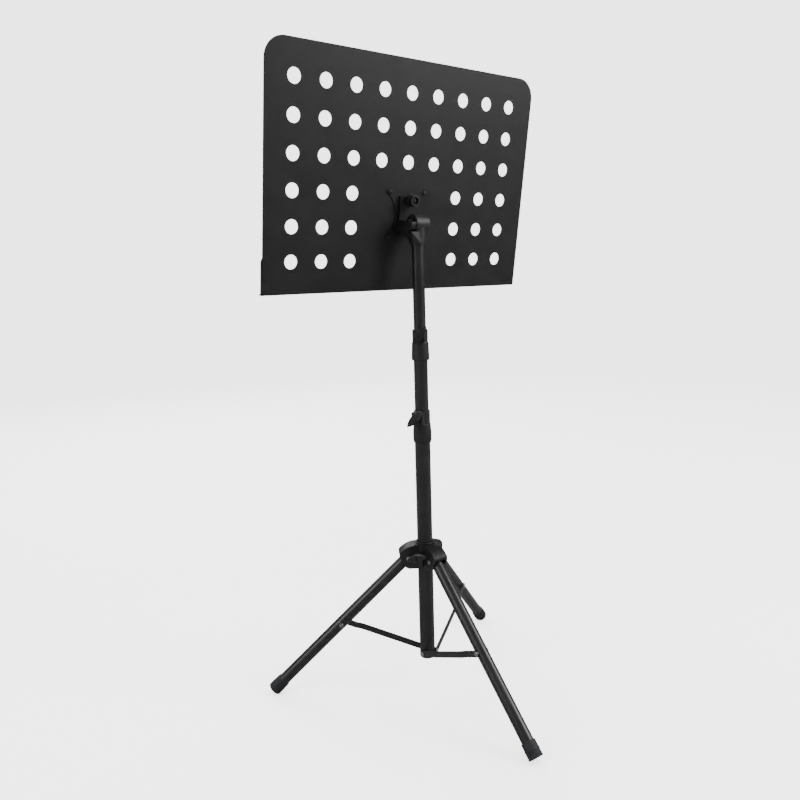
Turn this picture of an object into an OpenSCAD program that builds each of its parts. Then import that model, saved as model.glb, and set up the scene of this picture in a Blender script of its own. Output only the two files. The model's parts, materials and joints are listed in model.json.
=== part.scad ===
// Folding orchestral music stand: perforated desk on a telescopic mast with a folding tripod.
// Millimetres, +Z up. The origin is on the floor, under the axis of the mast.
// The desk's reading side faces -Y and its back faces +Y.

/* [Desk] */
// Width of the desk
desk_w = 496; // [480:1:510]
// Distance of the sheet's middle from the middle of its hole grid, across
desk_shift = -3; // [-5:1:5]
// Height of the desk's sheet above the middle of the hole grid
desk_up = 170; // [165:1:180]
// Height of the desk's sheet below the middle of the hole grid
desk_down = 170; // [165:1:180]
// Height of the middle of the hole grid above the floor
desk_z = 829; // [827:1:831]
// Distance of the desk's back face from the mast axis, at the middle of the hole grid
desk_front = 21; // [20.5:0.5:21.5]
// Lean of the desk away from the player
recline = 8.4; // [8:0.2:9]
// Diameter of the round holes
hole_d = 20.8; // [16:0.2:26]
// Depth of the score ledge
ledge_depth = 50; // [40:1:60]
// Height of the lip on the ledge's front edge
lip_h = 14; // [8:1:18]

/* [Mast] */
// Outer diameter of the lower tube
lower_tube_d = 25; // [24.8:0.1:25.2]
// Outer diameter of the middle tube
middle_tube_d = 22; // [21.8:0.1:22.2]
// Outer diameter of the upper tube
upper_tube_d = 19; // [18.8:0.1:19]
// Wall of all the tubes
tube_wall = 1.2; // [1.1:0.1:1.3]
// Height of the tilt pivot above the floor
tilt_z = 761; // [760:1:763]

/* [Tripod] */
// Direction of the first leg, measured from +X towards +Y
leg_az = -33; // [-36:1:-30]
// Distance of the ends of the leg tubes from the mast axis
foot_r = 257; // [250:1:265]
// Distance of the leg pivots from the mast axis
leg_pivot_r = 28; // [27.8:0.1:28.5]
// Diameter of a leg tube
leg_d = 19; // [18:0.5:19]
// Diameter of a rubber foot
foot_d = 23; // [22:0.5:24]
// Place of the stay on the leg, measured along the leg from its pivot
stay_on_leg = 158.9; // [150:0.1:165]

/* [Hidden] */
$fn = 64;
fit = 0.08;          // radial clearance of a running fit
gap = 0.3;           // clearance between pieces that pass each other
eps = 0.01;

// Colours
steel_black = [0.11, 0.11, 0.115];
plastic_black = [0.13, 0.13, 0.135];
rubber_black = [0.15, 0.16, 0.18];
zinc = [0.75, 0.75, 0.76];

// Desk, in its own frame: x across, z up the sheet, y out of its back face
sheet_t = 1.2;
corner_r = 31;
hole_pitch_x = 50;
hole_pitch_z = 49.2;
tab_h = 53;
tab_d = 6;
ledge_straight = 10;
lip_half_w = desk_w / 2 - 42;
lip_corner_r = 5;

// Bracket on the desk's back, and the pocket that takes the tongue
bracket_z = -53;
bracket_t = 1.5;
arm_r = 6;
rivet_off = 33;      // the rivets' distance from the bracket's middle, both ways
side_r = 39.25;
waist_x = 21;
top_r = 51;
waist_z = 26;
pocket_w = 32;
pocket_d = 6;
pocket_z = [-66, -25.5];
tongue_w = 28;
tongue_t = 2.5;
tongue_y = 2.15;
tongue_z = [-85, -28];
tongue_screw_x = [-5, 9];
tongue_screw_z = -76;
lock_z = -31;
lock_nut_y = [pocket_d, 9];
lock_grip_y = [11.5, 23];
lock_grip_r = 8.9;
lock_base_r = 9.8;
lock_base = 3.5;      // height of the stout base under the knurled grip
screw_r = 3;         // every M6 screw, bolt and clamp

// Tilt joint, around the pivot
barrel_r = 13.5;
barrel_x = [-16, 8];
disc_r = 14;
disc_x = [8, 11];
knuckle_r = 12.5;
knuckle_x = [11.3, 20];
knuckle_top = 3.5;
nut_pocket_r = 5.75;
nut_pocket_x = 17.2;
arm_foot_x = [-12, 20];
arm_foot_z = [-16.6, -3.8];
arm_foot_back = -20;
arm_nose_r = 7.7;
neck_z = 729;
// The desk's own origin as seen from the tilt pivot, in the desk's directions
desk_y_from_tilt = -desk_front * cos(recline) - (desk_z - tilt_z) * sin(recline);
arm_foot_front = desk_y_from_tilt + tongue_y + tongue_t;

// Heights on the mast
lower_tube_z = [65, 446];
middle_tube_z = [200, 575];
upper_tube_z = [370, 741];
lower_collar_z = [420, 471.5];
upper_collar_z = [552, 600];
flange_h = 10;
spigot_h = 15;

// Wing knobs: radial start, direction, height and turn of each
wing_stem = 6.7;
wing_leaf = 5;
hub_knob = [26.3, 24, 234, 20];
lower_knob = [19.3, 24, 460, 46];
upper_knob = [18.3, 46, 590, 53];

// Hub
hub_z = [211, 254];
hub_core_top = 250;
hub_core_r = 17;
hub_collar_r = 15.5;
lug_half_w = 13;
lug_inside = 10;
lug_end = 43;
lug_arc = [14, 213]; // centre of the hood's round back, as distance from the axis and height
hood_r = [35, 38];

// Tripod
leg_pivot_z = 228;
foot_axis_z = 8.6;
leg_angle = atan((leg_pivot_z - foot_axis_z) / (foot_r - leg_pivot_r));
leg_l = (foot_r - leg_pivot_r) / cos(leg_angle);
foot_l = 35;
foot_end = leg_l + 3;
pivot_r = 2.5;
stay_pin_r = 2;
stay_inner = [6, 59];
stay_outer = [leg_pivot_r + stay_on_leg * cos(leg_angle), leg_pivot_z - stay_on_leg * sin(leg_angle)];
stay_angle = atan((stay_outer[1] - stay_inner[1]) / (stay_outer[0] - stay_inner[0]));
stay_l = (stay_outer[0] - stay_inner[0]) / cos(stay_angle);
stay_w = 10;
stay_t = 1.6;
stay_mast_y = -13;   // the stay's face towards the mast
stay_leg_y = -10;    // the stay's face towards the leg, past the joggle
joggle = [stay_l - 39, stay_l - 27];
spider_z = [49.5, 65];
spider_r = 12.7;
spider_plug_top = 80;
boss_r = 5;

// ---------- frames and simple shapes ----------

module in_desk() {
    translate([0, -desk_front, desk_z]) rotate([-recline, 0, 0]) children();
}

module at_tilt() {
    translate([0, 0, tilt_z]) rotate([-recline, 0, 0]) children();
}

module on_azimuth(i) {
    rotate([0, 0, leg_az + 120 * i]) children();
}

// The leg's own frame: +X runs down the leg from its pivot
module on_leg(i) {
    on_azimuth(i) translate([leg_pivot_r, 0, leg_pivot_z]) rotate([0, leg_angle, 0]) children();
}

// The stay's own frame: +X runs out and up along the stay from its inner pivot
module on_stay(i) {
    on_azimuth(i) translate([stay_inner[0], 0, stay_inner[1]]) rotate([0, -stay_angle, 0]) children();
}

// The frame of a wing knob: +X runs outwards along its screw
module at_knob(k) {
    rotate([0, 0, k[1]]) translate([0, 0, k[2]]) children();
}

// A flat plate drawn in x and z, from y0 to y0 + t
module plate(y0, t) {
    translate([0, y0 + t, 0]) rotate([90, 0, 0]) linear_extrude(t) children();
}

// A shape drawn in y and z, from x0 to x1
module slab(x0, x1) {
    translate([x0, 0, 0]) rotate([90, 0, 90]) linear_extrude(x1 - x0) children();
}

module xcyl(r, x0, x1) {
    translate([x0, 0, 0]) rotate([0, 90, 0]) cylinder(r = r, h = x1 - x0);
}

module ycyl(r, y0, y1) {
    translate([0, y1, 0]) rotate([90, 0, 0]) cylinder(r = r, h = y1 - y0);
}

module tube(d, z) {
    difference() {
        translate([0, 0, z[0]]) cylinder(d = d, h = z[1] - z[0]);
        translate([0, 0, z[0] - 1]) cylinder(d = d - 2 * tube_wall, h = z[1] - z[0] + 2);
    }
}

// ---------- desk ----------

module desk_outline() {
    difference() {
        translate([-desk_w / 2, -desk_down]) square([desk_w, desk_up + desk_down]);
        for (side = [-1, 1])
            translate([side * desk_w / 2, desk_up]) difference() {
                square(2 * corner_r, center = true);
                translate([-side * corner_r, -corner_r]) circle(r = corner_r, $fn = 96);
            }
    }
}

// Three full rows of nine holes above three rows that leave the bracket's place whole
module desk_holes() {
    for (column = [-4:4])
        for (row = [0:5])
            if (row < 3 || abs(column) > 1)
                translate([column * hole_pitch_x, (2.5 - row) * hole_pitch_z]) circle(d = hole_d);
}

module at_bracket_rivets() {
    for (x = [-1, 1])
        for (z = [-1, 1])
            translate([x * rivet_off, bracket_z + z * rivet_off]) children();
}

module ledge_outline() {
    half = desk_w / 2;
    front_half = half - (ledge_depth - ledge_straight);
    polygon([[-half, 0], [half, 0], [half, -ledge_straight], [front_half, -ledge_depth],
        [-front_half, -ledge_depth], [-half, -ledge_straight]]);
}

module lip_outline() {
    inner = lip_half_w - lip_corner_r;
    translate([-lip_half_w, 0]) square([2 * lip_half_w, lip_h - lip_corner_r]);
    translate([-inner, 0]) square([2 * inner, lip_h]);
    for (side = [-1, 1])
        translate([side * inner, lip_h - lip_corner_r]) circle(r = lip_corner_r);
}

// A strip folded forwards along the foot of the sheet's side edge
module side_tab(x) {
    slab(x, x + sheet_t)
        polygon([[0, 0], [-tab_d, 0], [-tab_d, tab_h - tab_d + sheet_t], [-sheet_t, tab_h], [0, tab_h]]);
}

module desk_panel() {
    color(steel_black) in_desk() {
        plate(-sheet_t, sheet_t) difference() {
            translate([desk_shift, 0]) desk_outline();
            desk_holes();
            at_bracket_rivets() circle(r = 1.9);
        }
        translate([desk_shift, 0, -desk_down]) {
            linear_extrude(sheet_t) ledge_outline();
            plate(-ledge_depth, sheet_t) lip_outline();
            side_tab(desk_w / 2 - sheet_t);
            side_tab(-desk_w / 2);
        }
    }
}

// An X-shaped plate: a square with a rivet's eye at each corner and four hollow sides
module bracket_outline() {
    half = rivet_off + arm_r;
    difference() {
        union() {
            square([2 * rivet_off, 2 * half], center = true);
            square([2 * half, 2 * rivet_off], center = true);
            for (x = [-1, 1])
                for (z = [-1, 1])
                    translate([x * rivet_off, z * rivet_off]) circle(r = arm_r);
        }
        for (side = [-1, 1]) {
            translate([side * (waist_x + side_r), 0]) circle(r = side_r, $fn = 96);
            translate([0, side * (waist_z + top_r)]) circle(r = top_r, $fn = 96);
            for (end = [-1, 1])
                translate([side * rivet_off, end * rivet_off]) circle(r = 1.9);
        }
    }
}

module desk_bracket() {
    slot_w = tongue_w + 2 * gap;
    color(steel_black) in_desk() difference() {
        union() {
            translate([0, 0, bracket_z]) plate(0, bracket_t) bracket_outline();
            translate([-pocket_w / 2, bracket_t - eps, pocket_z[0]])
                cube([pocket_w, pocket_d - bracket_t + eps, pocket_z[1] - pocket_z[0]]);
        }
        translate([-slot_w / 2, tongue_y - gap, pocket_z[0] - 1])
            cube([slot_w, tongue_t + 2 * gap, tongue_z[1] + 1 - pocket_z[0] + 1]);
        translate([0, 0, lock_z]) ycyl(screw_r + fit, 3, pocket_d + 1);
    }
}

module bracket_rivets() {
    back = bracket_t;
    color(steel_black) in_desk() for (x = [-1, 1])
        for (z = [-1, 1])
            translate([x * rivet_off, 0, bracket_z + z * rivet_off]) rotate([-90, 0, 0])
                rotate_extrude() polygon([[0, -sheet_t], [1.9, -sheet_t], [1.9, back], [3.6, back],
                    [3.2, back + 1.1], [2, back + 1.8], [0, back + 2]]);
}

module lock_nut() {
    color(steel_black) in_desk() translate([0, 0, lock_z]) difference() {
        translate([0, lock_nut_y[1], 0]) rotate([90, 30, 0])
            cylinder(r = 5.8, h = lock_nut_y[1] - lock_nut_y[0], $fn = 6);
        ycyl(screw_r + fit, lock_nut_y[0] - 1, lock_nut_y[1] + 1);
    }
}

// Knurled socket-faced grip on an M6 screw that presses the tongue
module lock_knob() {
    tip = tongue_y + tongue_t + gap;
    knurls = 20;
    color(plastic_black) in_desk() translate([0, 0, lock_z]) {
        difference() {
            union() {
                ycyl(lock_grip_r - 0.5, lock_grip_y[0], lock_grip_y[1]);
                ycyl(lock_base_r, lock_grip_y[0], lock_grip_y[0] + lock_base);
                for (i = [0:knurls - 1])
                    rotate([0, 360 / knurls * i, 0])
                        translate([lock_grip_r - 1, lock_grip_y[0] + lock_base - eps, -0.6])
                            cube([1, lock_grip_y[1] - lock_grip_y[0] - lock_base - 1.2, 1.2]);
                ycyl(5, lock_grip_y[0] - 1.5, lock_grip_y[0] + eps);
            }
            ycyl(5.4, lock_grip_y[1] - 5, lock_grip_y[1] + 1);
        }
        ycyl(3.2, lock_grip_y[1] - 5 - eps, lock_grip_y[1] - 2.5);
        ycyl(screw_r, tip, lock_grip_y[0] - 1.5 + eps);
    }
}

// ---------- tilt joint ----------

module mount_tongue() {
    color(steel_black) in_desk() difference() {
        translate([-tongue_w / 2, tongue_y, tongue_z[0]])
            cube([tongue_w, tongue_t, tongue_z[1] - tongue_z[0]]);
        for (x = tongue_screw_x)
            translate([x, 0, tongue_screw_z]) tongue_screw_body(fit);
    }
}

// Countersunk screw from the tongue's front into the arm's foot
module tongue_screw_body(clearance) {
    translate([0, tongue_y, 0]) rotate([-90, 0, 0])
        rotate_extrude() polygon([[0, 0], [3.4 + clearance, 0], [1.75 + clearance, 1.7],
            [1.75 + clearance, 7], [0, 7]]);
}

module tongue_screws() {
    color(zinc) in_desk() for (x = tongue_screw_x)
        translate([x, 0, tongue_screw_z]) tongue_screw_body(0);
}

module knuckle_side() {
    difference() {
        circle(r = knuckle_r);
        translate([-20, knuckle_top]) square([40, 20]);
    }
    translate([arm_foot_front + arm_nose_r, knuckle_top - arm_nose_r]) circle(r = arm_nose_r);
    polygon([[0, knuckle_top], [arm_foot_front + arm_nose_r, knuckle_top],
        [arm_foot_front, knuckle_top - arm_nose_r], [arm_foot_front, arm_foot_z[0]],
        [arm_foot_back + 2, arm_foot_z[0]], [-4, -11.8], [0, -11]]);
}

module tilt_arm() {
    foot_w = arm_foot_x[1] - arm_foot_x[0];
    color(plastic_black) difference() {
        at_tilt() {
            slab(knuckle_x[0], knuckle_x[1]) knuckle_side();
            translate([arm_foot_x[0], arm_foot_front, arm_foot_z[0]])
                cube([foot_w, arm_foot_back - arm_foot_front, arm_foot_z[1] - arm_foot_z[0]]);
        }
        at_tilt() {
            xcyl(screw_r + fit, knuckle_x[0] - 1, nut_pocket_x + 1);
            translate([knuckle_x[0] - 1, 0, 0]) rotate([0, 90, 0])
                cylinder(r = nut_pocket_r, h = nut_pocket_x - knuckle_x[0] + 1, $fn = 6);
        }
        in_desk() {
            for (x = tongue_screw_x)
                translate([x, 0, tongue_screw_z]) ycyl(1.75, 0, tongue_y + 7);
            translate([-pocket_w, 0, pocket_z[0] - gap]) cube([2 * pocket_w, pocket_d + gap, -pocket_z[0]]);
        }
    }
}

module tilt_nut() {
    color(zinc) at_tilt() difference() {
        translate([knuckle_x[0] + 0.6, 0, 0]) rotate([0, 90, 0])
            cylinder(r = nut_pocket_r - 0.1, h = nut_pocket_x - knuckle_x[0] - 0.6, $fn = 6);
        xcyl(screw_r + fit, knuckle_x[0], nut_pocket_x + 1);
    }
}

// Disc with radial teeth on the face that the knuckle grips
module friction_disc() {
    teeth = 28;
    color(plastic_black) translate([0, 0, tilt_z]) difference() {
        xcyl(disc_r, disc_x[0], disc_x[1]);
        for (i = [0:teeth / 2 - 1])
            rotate([360 / teeth * i, 0, 0]) translate([disc_x[1] - 0.9, -disc_r - 1, -0.6])
                cube([2, 2 * disc_r + 2, 1.2]);
        xcyl(screw_r + fit, disc_x[0] - 1, disc_x[1] + 1);
    }
}

module barrel_profile() {
    edge = 2.5;
    translate([0, barrel_x[0] + edge]) square([barrel_r, barrel_x[1] - barrel_x[0] - edge]);
    translate([0, barrel_x[0]]) square([barrel_r - edge, edge + eps]);
    translate([barrel_r - edge, barrel_x[0] + edge]) circle(r = edge);
}

// Saddle that spreads from the neck to the knuckle's outer face
module neck_flare() {
    hull() {
        translate([0, 0, neck_z + 0.8]) cylinder(r = 11.6, h = 1, $fn = 32);
        translate([0, -5, tilt_z - 14]) cube([knuckle_x[1], 16, 1.5]);
    }
}

module tilt_head() {
    socket_top = upper_tube_z[1];
    color(plastic_black) difference() {
        union() {
            translate([0, 0, tilt_z]) rotate([0, 90, 0]) rotate_extrude() barrel_profile();
            rotate_extrude() polygon([[0, neck_z], [11.2, neck_z], [11.75, neck_z + 0.8],
                [12.1, neck_z + 12], [12.9, tilt_z - 6], [0, tilt_z - 6]]);
            neck_flare();
        }
        translate([0, 0, neck_z - 1]) cylinder(d = upper_tube_d, h = socket_top - neck_z + 1);
        translate([0, 0, tilt_z]) {
            xcyl(screw_r + fit, barrel_x[0] - 1, barrel_x[1] + 1);
            xcyl(6.6, barrel_x[0] - 1, barrel_x[0] + 4);
            xcyl(disc_r + gap, barrel_x[1], knuckle_x[1] + 1);
        }
    }
}

module tilt_bolt() {
    color(zinc) translate([0, 0, tilt_z]) {
        xcyl(screw_r, barrel_x[0] + 3, nut_pocket_x);
        translate([barrel_x[0] + 0.5, 0, 0]) rotate([0, 90, 0]) cylinder(r = 5.7, h = 3.5, $fn = 6);
    }
}

// ---------- mast ----------

module upper_tube() {
    color(steel_black) tube(upper_tube_d, upper_tube_z);
}

module middle_tube() {
    color(steel_black) tube(middle_tube_d, middle_tube_z);
}

module lower_tube() {
    color(steel_black) tube(lower_tube_d, lower_tube_z);
}

// Guide bush: a flange that slides in the outer tube and a spigot that the inner tube turns on
module guide_bush(outer_tube_d, inner_tube_d, top) {
    flange_r = outer_tube_d / 2 - tube_wall - fit;
    spigot_r = inner_tube_d / 2 - tube_wall - fit;
    color(plastic_black) difference() {
        union() {
            translate([0, 0, top - flange_h]) cylinder(r = flange_r, h = flange_h - gap);
            translate([0, 0, top - flange_h]) cylinder(r = spigot_r, h = flange_h + spigot_h);
        }
        translate([0, 0, top - flange_h - 1]) cylinder(r = spigot_r - 2, h = flange_h + spigot_h + 2);
    }
}

module upper_bush() {
    guide_bush(middle_tube_d, upper_tube_d, upper_tube_z[0]);
}

module middle_bush() {
    guide_bush(lower_tube_d, middle_tube_d, middle_tube_z[0]);
}

// Clamp collar: a skirt over the outer tube, and a narrower clamp with a boxy boss for the screw.
// The profile is drawn by the caller; z_step is the top of the outer tube.
module collar_cuts(z, z_step, outer_d, inner_d, k) {
    translate([0, 0, z[0] - 1]) cylinder(d = outer_d, h = z_step - z[0] + 1);
    translate([0, 0, z[0]]) cylinder(d = inner_d + 2 * fit, h = z[1] - z[0] + 1);
    at_knob(k) xcyl(screw_r + fit, 0, k[0]);
    rotate([0, 0, k[1] + 180]) translate([0, -0.8, z_step + 3]) cube([30, 1.6, 40]);
}

module lower_collar() {
    z = lower_collar_z;
    k = lower_knob;
    boss_h = 20;
    color(plastic_black) difference() {
        union() {
            rotate_extrude() polygon([[0, z[0]], [13.9, z[0]], [14.7, z[0] + 4], [14.7, z[0] + 17],
                [13.9, z[0] + 27], [13.9, z[0] + 29], [13, z[0] + 30], [13, z[1] - 0.6],
                [12.4, z[1]], [0, z[1]]]);
            at_knob(k) {
                translate([0, -9.5, -boss_h / 2]) cube([17.5, 19, boss_h]);
                xcyl(7, 0, 19);
            }
        }
        collar_cuts(z, lower_tube_z[1], lower_tube_d, middle_tube_d, k);
    }
}

module upper_collar() {
    z = upper_collar_z;
    k = upper_knob;
    boss_h = 18;
    color(plastic_black) difference() {
        union() {
            rotate_extrude() polygon([[0, z[0]], [13.2, z[0]], [14, z[0] + 1.5], [13.9, z[0] + 8],
                [13.2, z[0] + 27], [12.2, z[0] + 28.5], [12.2, z[1] - 0.6], [11.6, z[1]], [0, z[1]]]);
            at_knob(k) {
                translate([0, -8.5, -boss_h / 2]) cube([15.6, 17, boss_h]);
                xcyl(6.5, 0, 17);
            }
        }
        collar_cuts(z, middle_tube_z[1], middle_tube_d, upper_tube_d, k);
    }
}

// Shoe at the screw's tip that bears on the inner tube
module clamp_shoe(tube_d, k) {
    color(zinc) at_knob(k) xcyl(screw_r - 0.05, tube_d / 2 + 0.05, tube_d / 2 + 1.8);
}

module upper_clamp_shoe() {
    clamp_shoe(upper_tube_d, upper_knob);
}

module lower_clamp_shoe() {
    clamp_shoe(middle_tube_d, lower_knob);
}

module hub_clamp_shoe() {
    clamp_shoe(lower_tube_d, hub_knob);
}

// Leaf between two arcs, set off along its length so that one wing is longer
module leaf_outline() {
    half_l = 18.5;
    half_w = 6.25;
    arc_r = (half_l * half_l + half_w * half_w) / (2 * half_w);
    translate([2.5, 0]) intersection() {
        translate([0, arc_r - half_w]) circle(r = arc_r, $fn = 120);
        translate([0, half_w - arc_r]) circle(r = arc_r, $fn = 120);
        square([2 * half_l - 1, 2 * half_w], center = true);
    }
}

module wing_knob(k) {
    leaf_x = k[0] + wing_stem;
    face = leaf_x + wing_leaf;
    color(plastic_black) at_knob(k) rotate([k[3], 0, 0]) difference() {
        union() {
            xcyl(6, k[0], leaf_x + eps);
            slab(leaf_x, face) leaf_outline();
            xcyl(4.75, face - eps, face + 1.4);
        }
        xcyl(screw_r, k[0] - 1, leaf_x + 1);
        difference() {
            xcyl(3.7, face + 0.8, face + 2);
            xcyl(3.1, face, face + 3);
        }
    }
}

module wing_screw(tube_d, k) {
    color(zinc) at_knob(k) xcyl(screw_r, tube_d / 2 + 2.1, k[0] + wing_stem + 1);
}

module upper_wing_knob() {
    wing_knob(upper_knob);
}

module lower_wing_knob() {
    wing_knob(lower_knob);
}

module hub_wing_knob() {
    wing_knob(hub_knob);
}

module upper_wing_screw() {
    wing_screw(upper_tube_d, upper_knob);
}

module lower_wing_screw() {
    wing_screw(middle_tube_d, lower_knob);
}

module hub_wing_screw() {
    wing_screw(lower_tube_d, hub_knob);
}

// ---------- hub ----------

// Ring sector seen from the leg's side, from r_in to r_out around the hood's centre
module hood_side(r_in, r_out) {
    intersection() {
        translate(lug_arc) difference() {
            circle(r = r_out, $fn = 120);
            circle(r = r_in, $fn = 120);
        }
        translate([12, hub_z[0]]) square([lug_end - 12, 60]);
    }
}

module cheek_side() {
    intersection() {
        translate(lug_arc) circle(r = hood_r[1] - 1, $fn = 120);
        polygon([[8, hub_z[0]], [28, hub_z[0]], [33, hub_z[0] + 2.5], [38, hub_z[0] + 11],
            [lug_end, hub_z[0] + 20], [lug_end, hub_z[0] + 50], [8, hub_z[0] + 50]]);
    }
}

module hub_lug() {
    ribs = 7;
    rib_pitch = 3.8;
    plate(-lug_half_w, 2 * lug_half_w) hood_side(hood_r[0], hood_r[1] - 0.9);
    for (i = [0:ribs - 1])
        plate((i - (ribs - 1) / 2) * rib_pitch - 1, 2) hood_side(hood_r[0] + 1, hood_r[1]);
    plate(-lug_half_w, lug_half_w - lug_inside) cheek_side();
    plate(lug_inside, lug_half_w - lug_inside) cheek_side();
}

module hub_body() {
    boss_end = hub_knob[0] - 0.8;
    color(plastic_black) difference() {
        union() {
            rotate_extrude() polygon([[0, hub_z[0]], [hub_core_r, hub_z[0]], [hub_core_r, hub_core_top],
                [hub_collar_r, hub_core_top], [hub_collar_r, hub_z[1] - 0.6],
                [hub_collar_r - 0.6, hub_z[1]], [0, hub_z[1]]]);
            for (i = [0:2]) on_azimuth(i) hub_lug();
            at_knob(hub_knob) {
                xcyl(7, 0, boss_end);
                translate([0, -6, hub_z[0] - hub_knob[2] + 6]) cube([boss_end - 5, 12, 20]);
            }
        }
        translate([0, 0, hub_z[0] - 1]) cylinder(d = lower_tube_d + 2 * fit, h = 60);
        translate([0, 0, hub_core_top + 1]) cylinder(r = 14, h = 10);
        at_knob(hub_knob) xcyl(screw_r + fit, 0, boss_end + 1);
        for (i = [0:2])
            on_azimuth(i) translate([leg_pivot_r, 0, leg_pivot_z]) ycyl(pivot_r, -20, 20);
    }
}

module leg_pivot_rivets() {
    reach = lug_half_w + 1.4;
    color(zinc) for (i = [0:2])
        on_azimuth(i) translate([leg_pivot_r, 0, leg_pivot_z]) {
            ycyl(pivot_r, -reach, reach);
            ycyl(4, -reach, -lug_half_w);
            ycyl(4, lug_half_w, reach);
        }
}

// ---------- legs and stays ----------

module leg(i) {
    color(steel_black) on_leg(i) difference() {
        union() {
            xcyl(leg_d / 2, 0, leg_l);
            intersection() {
                ycyl(leg_d / 2, -leg_d / 2, leg_d / 2);
                xcyl(leg_d / 2, -leg_d / 2, 1);
            }
        }
        xcyl(leg_d / 2 - tube_wall, 14, leg_l + 1);
        ycyl(pivot_r + fit, -leg_d, leg_d);
        translate([stay_on_leg, 0, 0]) ycyl(stay_pin_r, -leg_d, leg_d);
    }
}

// Sleeve with three ring ribs near its end
module foot_profile() {
    r = foot_d / 2;
    groove = 0.8;
    mouth = foot_end - foot_l;
    rib = 3;
    difference() {
        polygon([[0, mouth], [r - 1, mouth], [r - 0.4, mouth + 1.5], [r - 0.4, foot_end - 14],
            [r, foot_end - 13], [r, foot_end - 1], [r - 1, foot_end], [0, foot_end]]);
        for (i = [1:3])
            translate([r - groove, foot_end - 1.2 - i * rib]) square([2, 1]);
    }
}

module foot(i) {
    color(rubber_black) difference() {
        on_leg(i) difference() {
            rotate([0, 90, 0]) rotate_extrude() foot_profile();
            xcyl(leg_d / 2, foot_end - foot_l - 1, leg_l);
        }
        translate([0, 0, -20]) cylinder(r = foot_r + 60, h = 20);
    }
}

// The stay seen from its edge: straight beside the mast, then set in towards the leg
module stay_edge() {
    end = stay_w / 2;
    polygon([[-end, stay_mast_y], [joggle[0], stay_mast_y], [joggle[1], stay_leg_y],
        [stay_l + end, stay_leg_y], [stay_l + end, stay_leg_y - stay_t],
        [joggle[1], stay_leg_y - stay_t], [joggle[0], stay_mast_y - stay_t], [-end, stay_mast_y - stay_t]]);
}

// Round-ended outline of the stay, across its width
module stay_face() {
    translate([0, -stay_w / 2]) square([stay_l, stay_w]);
    circle(d = stay_w);
    translate([stay_l, 0]) circle(d = stay_w);
}

module stay(i) {
    color(steel_black) on_stay(i) difference() {
        intersection() {
            translate([0, 0, -stay_w]) linear_extrude(2 * stay_w) stay_edge();
            plate(-20, 20) stay_face();
        }
        ycyl(stay_pin_r + fit, -20, 0);
        translate([stay_l, 0, 0]) ycyl(stay_pin_r, -20, 0);
    }
}

// The part of the outer stay rivet that stays in the leg
module leg_rivet(i) {
    color(zinc) on_leg(i) translate([stay_on_leg, 0, 0]) {
        ycyl(stay_pin_r, stay_leg_y + gap, leg_d / 2 + 1.4);
        ycyl(3.5, leg_d / 2, leg_d / 2 + 1.4);
    }
}

// The headed part of the outer stay rivet, which stays in the stay
module stay_rivet(i) {
    face = stay_leg_y - stay_t;
    color(zinc) on_stay(i) translate([stay_l, 0, 0]) {
        ycyl(stay_pin_r, face - eps, stay_leg_y);
        ycyl(4, face - 1.4, face);
    }
}

module spider() {
    plug_r = lower_tube_d / 2 - tube_wall;
    color(plastic_black) difference() {
        union() {
            rotate_extrude() polygon([[0, spider_z[0]], [spider_r - 3, spider_z[0]],
                [spider_r - 0.9, spider_z[0] + 0.9], [spider_r, spider_z[0] + 3], [spider_r, spider_z[1]],
                [plug_r, spider_z[1]], [plug_r, spider_plug_top], [0, spider_plug_top]]);
            for (i = [0:2])
                on_azimuth(i) translate([stay_inner[0], 0, stay_inner[1]])
                    ycyl(boss_r, stay_mast_y + gap, -6);
        }
        translate([0, 0, spider_z[1]]) cylinder(r = plug_r - 2, h = 30);
        for (i = [0:2])
            on_azimuth(i) translate([stay_inner[0], 0, stay_inner[1]]) ycyl(stay_pin_r, -20, -6);
    }
}

module spider_rivets() {
    face = stay_mast_y - stay_t - gap;
    color(zinc) for (i = [0:2])
        on_azimuth(i) translate([stay_inner[0], 0, stay_inner[1]]) {
            ycyl(stay_pin_r, face - eps, -6);
            ycyl(3.8, face - 1.4, face);
        }
}

desk_panel();
desk_bracket();
bracket_rivets();
lock_knob();
lock_nut();
mount_tongue();
tongue_screws();
tilt_arm();
tilt_nut();
friction_disc();
tilt_head();
tilt_bolt();
upper_tube();
upper_bush();
middle_tube();
middle_bush();
lower_tube();
upper_collar();
upper_clamp_shoe();
upper_wing_knob();
upper_wing_screw();
lower_collar();
lower_clamp_shoe();
lower_wing_knob();
lower_wing_screw();
hub_body();
hub_clamp_shoe();
hub_wing_knob();
hub_wing_screw();
leg_pivot_rivets();
leg(0);  // leg_a
leg(1);  // leg_b
leg(2);  // leg_c
foot(0);  // foot_a
foot(1);  // foot_b
foot(2);  // foot_c
stay(0);  // stay_a
stay(1);  // stay_b
stay(2);  // stay_c
leg_rivet(0);  // leg_rivet_a
leg_rivet(1);  // leg_rivet_b
leg_rivet(2);  // leg_rivet_c
stay_rivet(0);  // stay_rivet_a
stay_rivet(1);  // stay_rivet_b
stay_rivet(2);  // stay_rivet_c
spider();
spider_rivets();
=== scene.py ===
"""Looks of a folding orchestral music stand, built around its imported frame.

Metres throughout, in the frame's own axes: +Z up, the desk's reading side faces -Y. Each sub-assembly
is a class that builds its pieces and dresses them, and each finish is a small frozen dataclass.
"""

from __future__ import annotations

import json
import logging
import math
from collections.abc import Iterable, Sequence
from dataclasses import dataclass, field
from enum import Enum

import bmesh
import bpy
from mathutils import Matrix, Vector

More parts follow.
